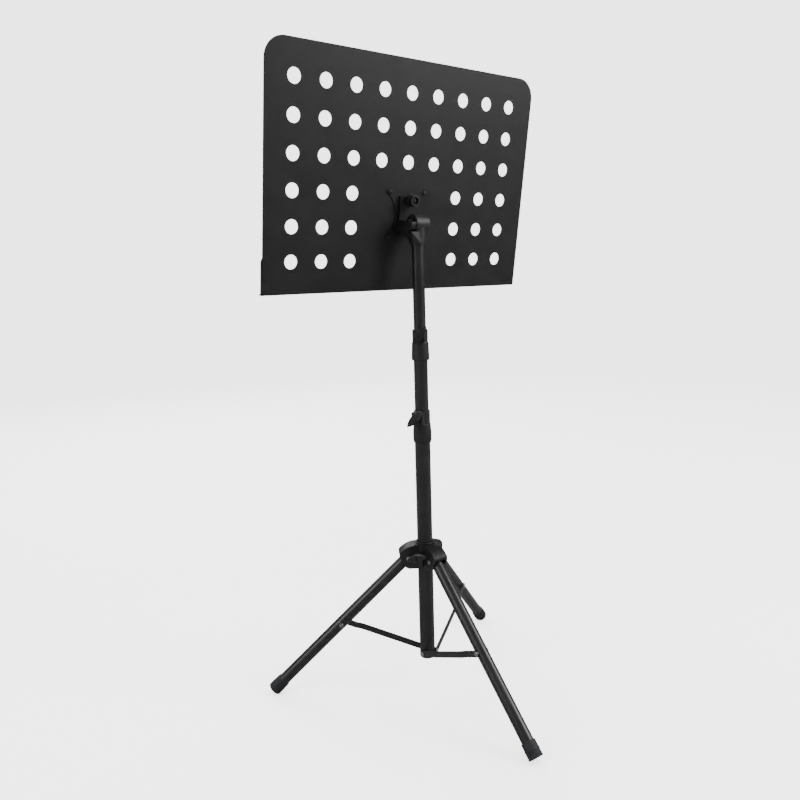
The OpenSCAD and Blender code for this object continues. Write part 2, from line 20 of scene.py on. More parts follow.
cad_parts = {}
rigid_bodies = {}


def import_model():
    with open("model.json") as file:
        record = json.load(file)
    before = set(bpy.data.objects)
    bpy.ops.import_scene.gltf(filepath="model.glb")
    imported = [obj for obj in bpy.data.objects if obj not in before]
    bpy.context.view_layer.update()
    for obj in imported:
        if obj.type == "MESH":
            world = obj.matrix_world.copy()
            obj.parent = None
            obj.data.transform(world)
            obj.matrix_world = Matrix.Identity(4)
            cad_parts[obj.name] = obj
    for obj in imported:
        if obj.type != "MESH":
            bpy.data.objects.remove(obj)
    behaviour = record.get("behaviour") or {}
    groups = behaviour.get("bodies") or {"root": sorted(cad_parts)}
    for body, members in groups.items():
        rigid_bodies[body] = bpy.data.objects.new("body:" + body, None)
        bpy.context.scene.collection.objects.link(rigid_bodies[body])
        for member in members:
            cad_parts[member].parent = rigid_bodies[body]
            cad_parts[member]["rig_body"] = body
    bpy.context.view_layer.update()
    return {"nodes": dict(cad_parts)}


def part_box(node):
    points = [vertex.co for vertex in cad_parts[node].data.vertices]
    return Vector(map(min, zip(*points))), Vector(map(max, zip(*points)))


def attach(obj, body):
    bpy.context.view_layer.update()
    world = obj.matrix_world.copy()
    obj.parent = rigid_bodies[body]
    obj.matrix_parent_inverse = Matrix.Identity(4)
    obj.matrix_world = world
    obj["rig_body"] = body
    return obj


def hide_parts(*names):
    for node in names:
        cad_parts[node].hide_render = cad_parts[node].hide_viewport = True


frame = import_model()
MM = 0.001
RIM = "rim"  # face attribute that marks the rounded edges, where a coat wears first

logging.basicConfig(level=logging.INFO, format="%(message)s")
log = logging.getLogger("music_stand")

Point = tuple[float, float]
Head = tuple[float, float, float]
Rivet = tuple[float, Head, Head]

FLOAT = "NodeSocketFloat"
GEOMETRY = "NodeSocketGeometry"
INTEGER = "NodeSocketInt"
PAINT = "NodeSocketMaterial"
VECTOR = "NodeSocketVector"
WHITE = (1.0, 1.0, 1.0, 1.0)

# What every finish shares: its smudges, specks, polish and dust
SMUDGE_DARK = 0.82
SMUDGE_LIGHT = 1.2
SPECK_SHARE = 0.25
WEAR_POLISH = 0.12
DUST_MATT = 0.5
DUST_COLOUR = (0.30, 0.29, 0.28, 1.0)
BUMP_DEPTH = 0.2 * MM
COAT_ROUGHNESS = 0.3


class Slot(Enum):
    """The record's material slots."""

    DESK = "desk_powder"
    TUBE = "tube_powder"
    MOULDED = "moulded_black"
    RUBBER = "foot_rubber"
    ZINC = "zinc_steel"


class Spread(Enum):
    """Where a coat of dust lies."""

    NONE = 0.0
    FAINT = 0.012
    LIGHT = 0.035


# ---------------------------------------------------------------- node helpers


class NodeSheet:
    """A thin wrapper that adds nodes to a tree and links them by socket name."""

    def __init__(self, tree: bpy.types.NodeTree) -> None:
        """Take the tree to draw in.

        Args:
            tree: A shader or geometry node tree.
        """
        self.tree = tree

    def add(self, kind: str, inputs: dict | None = None, **settings: object) -> bpy.types.Node:
        """Add a node.

        Args:
            kind: The node's type name in Blender.
            inputs: Socket name or index to a value, or to a socket to link from.
            settings: Properties of the node itself.

        Returns:
            The new node.
        """
        node = self.tree.nodes.new(kind)
        for key, value in settings.items():
            setattr(node, key, value)
        for key, value in (inputs or {}).items():
            socket = node.inputs[key]
            if isinstance(value, bpy.types.NodeSocket):
                self.tree.links.new(value, socket)
            else:
                socket.default_value = value
        return node

    def maths(self, operation: str, *values: object) -> bpy.types.NodeSocket:
        """Add a Math node of one operation and give its output."""
        node = self.add("ShaderNodeMath", dict(enumerate(values)), operation=operation)
        return node.outputs[0]

    def mix_colour(self, share: object, low: object, high: object) -> bpy.types.NodeSocket:
        """Mix two colours by a share and give the result."""
        node = self.add("ShaderNodeMix", data_type="RGBA")
        for index, value in ((0, share), (6, low), (7, high)):
            if isinstance(value, bpy.types.NodeSocket):
                self.tree.links.new(value, node.inputs[index])
            else:
                node.inputs[index].default_value = value
        return node.outputs[2]

    def noise(self, place: object, scale: object, detail: float, **more: float) -> bpy.types.NodeSocket:
        """Add a noise texture and give its strength."""
        inputs = {"Vector": place, "Scale": scale, "Detail": detail, **more}
        return self.add("ShaderNodeTexNoise", inputs).outputs["Fac"]

    def span(self, value: object, low: float, high: float) -> bpy.types.NodeSocket:
        """Stretch a value, so that low becomes 0 and high becomes 1."""
        inputs = {"Value": value, "From Min": low, "From Max": high}
        return self.add("ShaderNodeMapRange", inputs).outputs["Result"]

    def give(self, value: bpy.types.NodeSocket, out: bpy.types.Node, name: str) -> bpy.types.NodeTree:
        """Link a value to a group's output and give the finished tree."""
        self.tree.links.new(value, out.inputs[name])
        return self.tree

    def copies(self, points: object, piece: object, paint: object, **turn: object) -> object:
        """Set a copy of a piece on each point, as plain mesh with its material."""
        cells = self.add("GeometryNodeInstanceOnPoints", {"Points": points, "Instance": piece, **turn})
        plain = self.add("GeometryNodeRealizeInstances", {"Geometry": cells.outputs["Instances"]})
        inputs = {"Geometry": plain.outputs["Geometry"], "Material": paint}
        return self.add("GeometryNodeSetMaterial", inputs).outputs["Geometry"]


def group_tree(
    name: str, kind: str, inputs: Iterable[tuple[str, str, object]], outputs: Iterable[tuple[str, str]]
) -> tuple[NodeSheet, bpy.types.Node, bpy.types.Node]:
    """Start a node group.

    Args:
        name: The group's name.
        kind: ShaderNodeTree or GeometryNodeTree.
        inputs: Name, socket type and starting value of each input; None for no value.
        outputs: Name and socket type of each output.

    Returns:
        The sheet to draw in, the input node and the output node.
    """
    tree = bpy.data.node_groups.new(name, kind)
    for label, socket_type, value in inputs:
        socket = tree.interface.new_socket(label, in_out="INPUT", socket_type=socket_type)
        if value is not None:
            socket.default_value = value
    for label, socket_type in outputs:
        tree.interface.new_socket(label, in_out="OUTPUT", socket_type=socket_type)
    sheet = NodeSheet(tree)
    return sheet, sheet.add("NodeGroupInput"), sheet.add("NodeGroupOutput")


class SurfaceEffects:
    """The effects that several finishes share, each built once as a shader node group."""

    def __init__(self) -> None:
        """Build every effect."""
        self.grain = self._grain()
        self.handling = self._handling()
        self.edge_wear = self._edge_wear()
        self.dust = self._dust()

    def _grain(self) -> bpy.types.NodeTree:
        """Fine surface texture: a height for the bump from two sizes of grain."""
        sheet, given, out = group_tree(
            "surface_grain", "ShaderNodeTree",
            [("Vector", VECTOR, None), ("Grain Scale", FLOAT, 1500.0), ("Ripple Scale", FLOAT, 220.0),
             ("Ripple Share", FLOAT, 0.4)],
            [("Height", FLOAT)])
        g = given.outputs
        grain = sheet.noise(g["Vector"], g["Grain Scale"], 3.0)
        ripple = sheet.noise(g["Vector"], g["Ripple Scale"], 1.0)
        share = g["Ripple Share"]
        fine = sheet.maths("MULTIPLY", grain, sheet.maths("SUBTRACT", 1.0, share))
        coarse = sheet.maths("MULTIPLY", ripple, share)
        return sheet.give(sheet.maths("ADD", fine, coarse), out, "Height")

    def _handling(self) -> bpy.types.NodeTree:
        """Soft smudges from handling, and small specks: two masks from 0 to 1."""
        sheet, given, out = group_tree(
            "handling_marks", "ShaderNodeTree",
            [("Vector", VECTOR, None), ("Smudge Scale", FLOAT, 18.0), ("Speck Scale", FLOAT, 420.0)],
            [("Smudges", FLOAT), ("Specks", FLOAT)])
        g = given.outputs
        smudge = sheet.noise(g["Vector"], g["Smudge Scale"], 5.0, Distortion=0.6)
        speck = sheet.add("ShaderNodeTexVoronoi", {"Vector": g["Vector"], "Scale": g["Speck Scale"]})
        sheet.give(sheet.span(smudge, 0.35, 0.68), out, "Smudges")
        return sheet.give(sheet.span(speck.outputs["Distance"], 0.16, 0.05), out, "Specks")

    def _edge_wear(self) -> bpy.types.NodeTree:
        """Mask of the rounded edges where the coat has polished or thinned."""
        sheet, given, out = group_tree(
            "edge_wear", "ShaderNodeTree",
            [("Vector", VECTOR, None), ("Amount", FLOAT, 0.5), ("Patch Scale", FLOAT, 160.0)],
            [("Mask", FLOAT)])
        rim = sheet.add("ShaderNodeAttribute", attribute_name=RIM)
        patch = sheet.noise(given.outputs["Vector"], given.outputs["Patch Scale"], 4.0)
        mask = sheet.maths("MULTIPLY", rim.outputs["Fac"], sheet.span(patch, 0.42, 0.66))
        return sheet.give(sheet.maths("MULTIPLY", mask, given.outputs["Amount"]), out, "Mask")

    def _dust(self) -> bpy.types.NodeTree:
        """Mask of the faint dust that settles on what faces up."""
        sheet, given, out = group_tree(
            "settled_dust", "ShaderNodeTree",
            [("Vector", VECTOR, None), ("Amount", FLOAT, 0.1), ("Clump Scale", FLOAT, 90.0)],
            [("Mask", FLOAT)])
        shape = sheet.add("ShaderNodeNewGeometry")
        parts = sheet.add("ShaderNodeSeparateXYZ", {"Vector": shape.outputs["Normal"]})
        clump = sheet.noise(given.outputs["Vector"], given.outputs["Clump Scale"], 6.0)
        lying = sheet.maths("MULTIPLY", sheet.span(parts.outputs["Z"], 0.3, 1.0), clump)
        return sheet.give(sheet.maths("MULTIPLY", lying, given.outputs["Amount"]), out, "Mask")


# ---------------------------------------------------------------- finishes


@dataclass(frozen=True)
class Finish:
    """A surface finish: a coat or bare metal, with its grain, marks, wear and dust."""

    name: str
    colour: tuple[float, float, float]
    worn_colour: tuple[float, float, float]
    roughness: float
    roughness_swing: float
    grain_scale: float
    ripple_scale: float
    ripple_share: float
    bump: float
    wear: float
    dust: Spread = Spread.FAINT
    metallic: float = 0.0
    coat: float = 0.0
    specular: float = 0.5

    def material(self, effects: SurfaceEffects) -> bpy.types.Material:
        """Build the finish's node material.

        Args:
            effects: The shared node groups.

        Returns:
            The material.
        """
        made = bpy.data.materials.new(self.name)
        made.use_nodes = True
        made.node_tree.nodes.clear()
        sheet = NodeSheet(made.node_tree)
        place = sheet.add("ShaderNodeTexCoord").outputs["Object"]
        groups = (effects.grain, effects.handling, effects.edge_wear, effects.dust)
        grain, marks, wear, dust = (sheet.add("ShaderNodeGroup", node_tree=g) for g in groups)
        for node in (grain, marks, wear, dust):
            sheet.tree.links.new(place, node.inputs["Vector"])
        grain.inputs["Grain Scale"].default_value = self.grain_scale
        grain.inputs["Ripple Scale"].default_value = self.ripple_scale
        grain.inputs["Ripple Share"].default_value = self.ripple_share
        wear.inputs["Amount"].default_value = self.wear
        dust.inputs["Amount"].default_value = self.dust.value

        deep = tuple(SMUDGE_DARK * c for c in self.colour) + (1.0,)
        light = tuple(SMUDGE_LIGHT * c for c in self.colour) + (1.0,)
        body = sheet.mix_colour(marks.outputs["Smudges"], deep, light)
        bare = self.worn_colour + (1.0,)
        specks = sheet.maths("MULTIPLY", marks.outputs["Specks"], SPECK_SHARE)
        worn = sheet.mix_colour(wear.outputs["Mask"], sheet.mix_colour(specks, body, bare), bare)
        dusty = sheet.mix_colour(dust.outputs["Mask"], worn, DUST_COLOUR)
        swing = sheet.maths("MULTIPLY", sheet.maths("SUBTRACT", marks.outputs["Smudges"], 0.5),
                            self.roughness_swing)
        rough = sheet.maths("ADD", self.roughness, swing)
        polish = sheet.maths("MULTIPLY", wear.outputs["Mask"], WEAR_POLISH)
        film = sheet.maths("MULTIPLY", dust.outputs["Mask"], DUST_MATT)
        matt = sheet.maths("ADD", sheet.maths("SUBTRACT", rough, polish), film)
        bump = sheet.add("ShaderNodeBump", {"Height": grain.outputs["Height"], "Strength": self.bump,
                         "Distance": BUMP_DEPTH})
        shader = sheet.add("ShaderNodeBsdfPrincipled", {
            "Base Color": dusty, "Roughness": matt, "Metallic": self.metallic, "Coat Weight": self.coat,
            "Coat Roughness": COAT_ROUGHNESS,
            "Specular IOR Level": self.specular, "Normal": bump.outputs["Normal"]})
        sheet.add("ShaderNodeOutputMaterial", {"Surface": shader.outputs["BSDF"]})
        return made


FINISHES = {
    Slot.DESK: Finish(
        "desk_powder_coat", (0.0048, 0.0048, 0.0051), (0.02, 0.02, 0.0205), roughness=0.50,
        roughness_swing=0.10, grain_scale=1700.0, ripple_scale=300.0, ripple_share=0.35, bump=0.35,
        wear=0.5, specular=0.28),
    Slot.TUBE: Finish(
        "tube_powder_coat", (0.0055, 0.0055, 0.0059), (0.03, 0.03, 0.0305), roughness=0.36,
        roughness_swing=0.10, grain_scale=1400.0, ripple_scale=180.0, ripple_share=0.5, bump=0.18,
        wear=0.5),
    Slot.MOULDED: Finish(
        "moulded_nylon", (0.0055, 0.0055, 0.0058), (0.025, 0.025, 0.0255), roughness=0.48,
        roughness_swing=0.12, grain_scale=2200.0, ripple_scale=500.0, ripple_share=0.25, bump=0.45,
        wear=0.6, specular=0.40),
    Slot.RUBBER: Finish(
        "foot_rubber", (0.007, 0.0082, 0.0105), (0.025, 0.027, 0.031), roughness=0.62,
        roughness_swing=0.16, grain_scale=1300.0, ripple_scale=90.0, ripple_share=0.4, bump=0.5,
        wear=0.7, dust=Spread.LIGHT, specular=0.30),
    Slot.ZINC: Finish(
        "zinc_plate", (0.36, 0.36, 0.365), (0.26, 0.25, 0.24), roughness=0.34,
        roughness_swing=0.18, grain_scale=2600.0, ripple_scale=400.0, ripple_share=0.5, bump=0.25,
        wear=0.4, dust=Spread.NONE, metallic=1.0),
}


# ---------------------------------------------------------------- meshes


@dataclass(frozen=True)
class Place:
    """A local frame: an origin and the directions of its X and Z."""

    origin: Vector
    x: Vector
    z: Vector

    def matrix(self) -> Matrix:
        """The matrix that carries local points into the stand's frame."""
        z = self.z.normalized()
        x = (self.x - self.x.dot(z) * z).normalized()
        y = z.cross(x)
        turn = Matrix((x, y, z)).transposed()
        return Matrix.Translation(self.origin) @ turn.to_4x4()


def lathe(profile: Sequence[Point], segments: int = 72) -> bmesh.types.BMesh:
    """Turn a profile about the local Z axis into a closed shape.

    Args:
        profile: Radius and height of each point. Points at radius 0 become poles; a profile with no
            pole is taken as a closed ring.
        segments: Points round the axis.

    Returns:
        The shape.
    """
    shape = bmesh.new()
    rings = []
    for radius, height in profile:
        if radius < 1e-7:
            rings.append([shape.verts.new((0.0, 0.0, height))])
            continue
        turns = (2 * math.pi * i / segments for i in range(segments))
        rings.append([shape.verts.new((radius * math.cos(t), radius * math.sin(t), height))
                      for t in turns])
    is_ring = all(len(r) > 1 for r in rings)
    pairs = list(zip(rings, rings[1:] + rings[:1] if is_ring else rings[1:]))
    for low, high in pairs:
        for i in range(segments):
            j = (i + 1) % segments
            corners = [low[i % len(low)], low[j % len(low)], high[j % len(high)], high[i % len(high)]]
            shape.faces.new(list(dict.fromkeys(corners)))
    bmesh.ops.recalc_face_normals(shape, faces=shape.faces)
    return shape


def prism(outline: Sequence[Point], low: float, high: float) -> bmesh.types.BMesh:
    """Raise an outline from one height to another along the local Z axis."""
    shape = bmesh.new()
    base = [shape.verts.new((x, y, low)) for x, y in outline]
    top = [shape.verts.new((x, y, high)) for x, y in outline]
    shape.faces.new(base[::-1])
    shape.faces.new(top)
    for i in range(len(outline)):
        j = (i + 1) % len(outline)
        shape.faces.new((base[i], base[j], top[j], top[i]))
    bmesh.ops.recalc_face_normals(shape, faces=shape.faces)
    return shape


def arc(centre: Point, radius: float, start: float, end: float, steps: int) -> list[Point]:
    """Points on an arc, angles in degrees, both ends included."""
    turns = (math.radians(start + (end - start) * i / steps) for i in range(steps + 1))
    return [(centre[0] + radius * math.cos(t), centre[1] + radius * math.sin(t)) for t in turns]


def combine(*shapes: bmesh.types.BMesh) -> bmesh.types.BMesh:
    """Gather several shapes in one, which keeps them as separate shells."""
    whole = shapes[0]
    for other in shapes[1:]:
        spare = bpy.data.meshes.new("spare")
        other.to_mesh(spare)
        whole.from_mesh(spare)
        bpy.data.meshes.remove(spare)
        other.free()
    return whole


def moved(shape: bmesh.types.BMesh, matrix: Matrix) -> bmesh.types.BMesh:
    """Carry a shape by a matrix and give it back."""
    bmesh.ops.transform(shape, matrix=matrix, verts=shape.verts)
    return shape


def soften(shape: bmesh.types.BMesh, width: float, segments: int = 2, angle: float = 32.0) -> None:
    """Round a shape's sharp edges and mark the faces that this makes.

    Args:
        shape: The shape to change.
        width: Size of the rounding.
        segments: Faces across it.
        angle: An edge sharper than this many degrees is rounded.
    """
    mark = shape.faces.layers.float.get(RIM) or shape.faces.layers.float.new(RIM)
    limit = math.radians(angle)
    sharp = [e for e in shape.edges if len(e.link_faces) == 2 and e.calc_face_angle(0.0) > limit]
    made = bmesh.ops.bevel(shape, geom=sharp, offset=width, offset_type="OFFSET", segments=segments,
                           profile=0.5, affect="EDGES", clamp_overlap=True)
    for face in made["faces"]:
        face[mark] = 1.0


def cad_shape(node: str, flat_angle: float = 0.6) -> bmesh.types.BMesh:
    """A CAD node's mesh as one welded shape, with its flat faces whole."""
    shape = bmesh.new()
    shape.from_mesh(frame["nodes"][node].data)
    bmesh.ops.remove_doubles(shape, verts=shape.verts, dist=2e-6)
    bmesh.ops.dissolve_limit(shape, angle_limit=math.radians(flat_angle), verts=shape.verts,
                             edges=shape.edges)
    return shape


def loose_object(name: str, shape: bmesh.types.BMesh) -> bpy.types.Object:
    """Put a shape in the scene for a while, as an object that tools can work on."""
    mesh = bpy.data.meshes.new(name)
    shape.to_mesh(mesh)
    shape.free()
    made = bpy.data.objects.new(name, mesh)
    bpy.context.scene.collection.objects.link(made)
    return made


def taken_shape(made: bpy.types.Object) -> bmesh.types.BMesh:
    """Take an object's mesh back as a shape and remove the object."""
    shape = bmesh.new()
    shape.from_mesh(made.data)
    mesh = made.data
    bpy.data.objects.remove(made)
    bpy.data.meshes.remove(mesh)
    return shape


class Assembly:
    """What every sub-assembly shares: it turns shapes into pieces and dresses them."""

    materials: dict[Slot, bpy.types.Material] = {}

    def piece(
        self, name: str, shape: bmesh.types.BMesh, slot: Slot, body: str, replaces: Sequence[str] = ()
    ) -> bpy.types.Object:
        """Make one finished piece from a shape.

        Args:
            name: The piece's name.
            shape: Its mesh in the stand's frame; it is used up.
            slot: The finish that it wears.
            body: The CAD body that it rides on.
            replaces: CAD nodes that it stands for.

        Returns:
            The piece.
        """
        return self.dress(loose_object(name, shape), slot, body, replaces)

    def dress(
        self, made: bpy.types.Object, slot: Slot, body: str, replaces: Sequence[str] = ()
    ) -> bpy.types.Object:
        """Smooth a piece, give it its finish and set it on its body."""
        made.data.shade_smooth()
        made.data.materials.clear()
        made.data.materials.append(self.materials[slot])
        made.modifiers.new("weighted", "WEIGHTED_NORMAL").keep_sharp = False
        bake_modifiers(made)
        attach(made, body)
        if replaces:
            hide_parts(*replaces)
        log.info("%s: %d faces on %s", made.name, len(made.data.polygons), body)
        return made

    def from_cad(self, node: str, slot: Slot, width: float, segments: int = 2) -> bpy.types.Object:
        """Rebuild a CAD node with rounded edges and dress it."""
        shape = cad_shape(node)
        soften(shape, width, segments)
        body = frame["nodes"][node]["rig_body"]
        return self.piece(node + "_finished", shape, slot, body, [node])

    def carry(self, node: str, slot: Slot) -> None:
        """Keep a CAD node as it is and give it its finish."""
        data = frame["nodes"][node].data
        data.materials.clear()
        data.materials.append(self.materials[slot])
        log.info("%s: carried over", node)


def bake_modifiers(made: bpy.types.Object) -> None:
    """Turn an object's modifiers into plain mesh and remove them."""
    graph = bpy.context.evaluated_depsgraph_get()
    graph.update()
    result = bpy.data.meshes.new_from_object(made.evaluated_get(graph), depsgraph=graph)
    made.modifiers.clear()
    old = made.data
    made.data = result
    result.name = made.name
    if old.users == 0:
        bpy.data.meshes.remove(old)


# ---------------------------------------------------------------- geometry node makers


def run_nodes(made: bpy.types.Object, tree: bpy.types.NodeTree, values: dict[str, object]) -> None:
    """Run a geometry tree on an object with named values, and keep the plain result."""
    modifier = made.modifiers.new("maker", "NODES")
    modifier.node_group = tree
    for item in tree.interface.items_tree:
        if item.in_out == "INPUT" and item.name in values:
            modifier[item.identifier] = values[item.name]
    bake_modifiers(made)


def plain_run(start: Point, end: Point, count: int) -> list[Point]:
    """Evenly spaced points from start to just before end."""
    return [(start[0] + (end[0] - start[0]) * i / count, start[1] + (end[1] - start[1]) * i / count)
            for i in range(count)]


def lean_matrix(origin: Vector, lean: float) -> Matrix:
    """The desk's directions: X across, Y out of the sheet's back, Z up the sheet."""
    return Matrix.Translation(origin) @ Matrix.Rotation(-lean, 4, "X")


def dome(radius: float, face: float, top: float, steps: int = 6) -> list[Point]:
    """Profile of a low domed head from the rim of its face to its pole."""
    rim = 0.3
    points = [(radius, face)]
    for i in range(steps + 1):
        turn = 0.5 * math.pi * i / steps
        points.append((radius * math.cos(turn), face + (top - face) * (rim + (1 - rim) * math.sin(turn))))
    points[-1] = (0.0, top)
    return points


def ring_tree() -> bpy.types.NodeTree:
    """Copies of one shape round the local Z axis."""
    sheet, given, out = group_tree(
        "knurls", "GeometryNodeTree",
        [("Geometry", GEOMETRY, None), ("Count", INTEGER, 20), ("Radius", FLOAT, 0.007),
         ("Material", PAINT, None)],
        [("Geometry", GEOMETRY)])
    g = given.outputs
    circle = sheet.add("GeometryNodeMeshCircle", {"Vertices": g["Count"], "Radius": g["Radius"]})
    place = sheet.add("GeometryNodeInputPosition").outputs[0]
    turn = sheet.add("FunctionNodeAlignRotationToVector", {"Vector": place}, axis="X", pivot_axis="Z")
    made = sheet.copies(circle.outputs["Mesh"], g["Geometry"], g["Material"],
                        Rotation=turn.outputs["Rotation"])
    return sheet.give(made, out, "Geometry")


def rivet_profile(shank: float, low: Head, high: Head) -> list[Point]:
    """Profile of a rivet along its axis.

    Args:
        shank: Radius of the shank.
        low: Radius, face and top of the head at the low end; radius 0 for a plain end.
        high: The same at the high end.

    Returns:
        Radius and height of each point, from pole to pole.
    """
    ends = []
    for radius, face, top in (low, high):
        ends.append(dome(radius, face, top) if radius > 0 else [(0.0, top)])
    return ends[0][::-1] + [(shank, low[1]), (shank, high[1])] + ends[1]


# ---------------------------------------------------------------- sub-assemblies


@dataclass
class DeskPanel(Assembly):
    """The perforated sheet with its folded ledge, lip and side strips."""

    half_width: float = 248 * MM
    shift: float = -3 * MM
    up: float = 170 * MM
    down: float = 170 * MM
    origin: Vector = field(default_factory=lambda: Vector((0.0, -21 * MM, 829 * MM)))
    lean: float = math.radians(8.4)
    sheet: float = 1.2 * MM
    corner: float = 31 * MM
    hole_radius: float = 10.4 * MM
    pitch_across: float = 50 * MM
    pitch_up: float = 49.2 * MM
    columns: int = 9
    rows: int = 6
    closed_columns: int = 3
    closed_rows: int = 3
    border_steps: int = 12
    fold: float = 2.2 * MM
    ledge: float = 50 * MM
    ledge_straight: float = 10 * MM
    lip_height: float = 14 * MM
    lip_half_width: float = 206 * MM
    lip_corner: float = 5 * MM
    tab_depth: float = 6 * MM
    tab_height: float = 53 * MM
    edge: float = 0.32 * MM

    def hole_cell(self) -> bmesh.types.BMesh:
        """One cell of the grid: a ring between its round hole and its border."""
        half = (self.pitch_across / 2, self.pitch_up / 2)
        corners = [(half[0], half[1]), (-half[0], half[1]), (-half[0], -half[1]), (half[0], -half[1])]
        border = []
        for corner, following in zip(corners, corners[1:] + corners[:1]):
            border += plain_run(corner, following, self.border_steps)
        hole = arc((0.0, 0.0), self.hole_radius, 45.0, 405.0, len(border))[:-1]
        shape = bmesh.new()
        outside = [shape.verts.new((x, y, 0.0)) for x, y in border]
        inside = [shape.verts.new((x, y, 0.0)) for x, y in hole]
        for i in range(len(border)):
            j = (i + 1) % len(border)
            shape.faces.new((outside[i], outside[j], inside[j], inside[i]))
        return shape

    def holes_tree(self) -> bpy.types.NodeTree:
        """Copies of a hole's cell on a grid, with the middle of the lower rows left out."""
        sheet, given, out = group_tree(
            "perforations", "GeometryNodeTree",
            [("Geometry", GEOMETRY, None), ("Pitch Across", FLOAT, 0.05), ("Pitch Up", FLOAT, 0.05),
             ("Columns", INTEGER, 9), ("Rows", INTEGER, 6),
             ("Closed Half Width", FLOAT, 0.07), ("Material", PAINT, None)],
            [("Geometry", GEOMETRY)])
        g = given.outputs
        wide = sheet.maths("MULTIPLY", g["Pitch Across"], sheet.maths("SUBTRACT", g["Columns"], 1.0))
        high = sheet.maths("MULTIPLY", g["Pitch Up"], sheet.maths("SUBTRACT", g["Rows"], 1.0))
        grid = sheet.add("GeometryNodeMeshGrid", {"Size X": wide, "Size Y": high,
                         "Vertices X": g["Columns"], "Vertices Y": g["Rows"]})
        place = sheet.add("GeometryNodeInputPosition").outputs[0]
        at = sheet.add("ShaderNodeSeparateXYZ", {"Vector": place})
        is_middle = sheet.maths("LESS_THAN", sheet.maths("ABSOLUTE", at.outputs["X"]),
                                g["Closed Half Width"])
        is_low = sheet.maths("LESS_THAN", at.outputs["Y"], 0.0)
        closed = sheet.maths("MULTIPLY", is_middle, is_low)
        kept = sheet.add("GeometryNodeDeleteGeometry", {"Geometry": grid.outputs["Mesh"],
                         "Selection": closed}, domain="POINT")
        made = sheet.copies(kept.outputs["Geometry"], g["Geometry"], g["Material"])
        return sheet.give(made, out, "Geometry")

    def perforations(self) -> bmesh.types.BMesh:
        """All the open cells, as Geometry Nodes lay them out."""
        made = loose_object("hole_cells", self.hole_cell())
        run_nodes(made, self.holes_tree(), {
            "Pitch Across": self.pitch_across, "Pitch Up": self.pitch_up, "Columns": self.columns,
            "Rows": self.rows, "Closed Half Width": self.pitch_across * self.closed_columns / 2,
            "Material": self.materials[Slot.DESK]})
        return taken_shape(made)

    def blank(self) -> list[Point]:
        """Border of the closed middle, with a point wherever a cell beside it has one."""
        half = self.pitch_across * self.closed_columns / 2
        low = -self.pitch_up * self.rows / 2
        across = self.border_steps * self.closed_columns
        upward = self.border_steps * self.closed_rows
        return (plain_run((half, 0.0), (-half, 0.0), across) + plain_run((-half, 0.0), (-half, low), upward)
                + plain_run((-half, low), (half, low), across) + plain_run((half, low), (half, 0.0), upward))

    def margins(self) -> list[list[Point]]:
        """The four bands between the grid and the sheet's outline."""
        grid_x = self.pitch_across * self.columns / 2
        grid_y = self.pitch_up * self.rows / 2
        across = self.border_steps * self.columns
        upward = self.border_steps * self.rows
        foot = -self.down + self.fold
        middle = self.half_width - self.corner
        rise = self.up - self.corner
        high_x = arc((self.shift + middle, rise), self.corner, 0, 90, 24)
        low_x = arc((self.shift - middle, rise), self.corner, 90, 180, 24)
        half_turn = len(high_x) // 2
        top = (plain_run((-grid_x, grid_y), (grid_x, grid_y), across) + [(grid_x, grid_y)]
               + high_x[half_turn:] + low_x[:half_turn + 1])
        right = (plain_run((grid_x, grid_y), (grid_x, -grid_y), upward) + [(grid_x, -grid_y)]
                 + [(self.shift + self.half_width, foot)] + high_x[:half_turn + 1])
        left = (plain_run((-grid_x, -grid_y), (-grid_x, grid_y), upward) + [(-grid_x, grid_y)]
                + low_x[half_turn:] + [(self.shift - self.half_width, foot)])
        bottom = (plain_run((grid_x, -grid_y), (-grid_x, -grid_y), across) + [(-grid_x, -grid_y)]
                  + [(self.shift - self.half_width, foot), (self.shift + self.half_width, foot)])
        return [top, right, left, bottom]

    def folded_strip(self) -> list[tuple[float, float, float]]:
        """Stations down the fold, along the ledge and up the lip: depth, height, half width."""
        foot = -self.down + self.fold
        stations = []
        for n, v in arc((-self.fold, foot), self.fold, 0, -90, 5):
            stations.append((n, v, self.half_width))
        stations.append((-self.ledge_straight, -self.down, self.half_width))
        front = -self.ledge + self.fold
        narrowed = self.half_width - (self.ledge - self.fold - self.ledge_straight)
        bend = arc((front, foot), self.fold, -90, -180, 5)
        for i, (n, v) in enumerate(bend):
            share = i / (len(bend) - 1)
            stations.append((n, v, narrowed + (self.lip_half_width - narrowed) * share))
        crown = -self.down + self.lip_height
        for turn in (0.5 * math.pi * i / 8 for i in range(9)):
            stations.append((-self.ledge, crown - self.lip_corner * (1 - math.sin(turn)),
                             self.lip_half_width - self.lip_corner * (1 - math.cos(turn))))
        return stations

    def skin(self) -> bmesh.types.BMesh:
        """The panel's outer surface as one sheet, in the desk's directions."""
        shape = self.perforations()
        for outline in [self.blank()] + self.margins():
            shape.faces.new([shape.verts.new((x, y, 0.0)) for x, y in outline])
        stand_up = Matrix(((1, 0, 0, 0), (0, 0, 0, 0), (0, 1, 0, 0), (0, 0, 0, 1)))
        moved(shape, stand_up)
        rows = [(shape.verts.new((self.shift - w, n, v)), shape.verts.new((self.shift + w, n, v)))
                for n, v, w in self.folded_strip()]
        for (left, right), (next_left, next_right) in zip(rows, rows[1:]):
            shape.faces.new((left, right, next_right, next_left))
        bmesh.ops.remove_doubles(shape, verts=shape.verts, dist=0.02 * MM)
        bmesh.ops.recalc_face_normals(shape, faces=shape.faces)
        shape.faces.ensure_lookup_table()
        back = next(f for f in shape.faces if abs(f.normal.y) > 0.99 and f.calc_center_median().z > 0)
        if back.normal.y < 0:
            bmesh.ops.reverse_faces(shape, faces=shape.faces)
        return shape

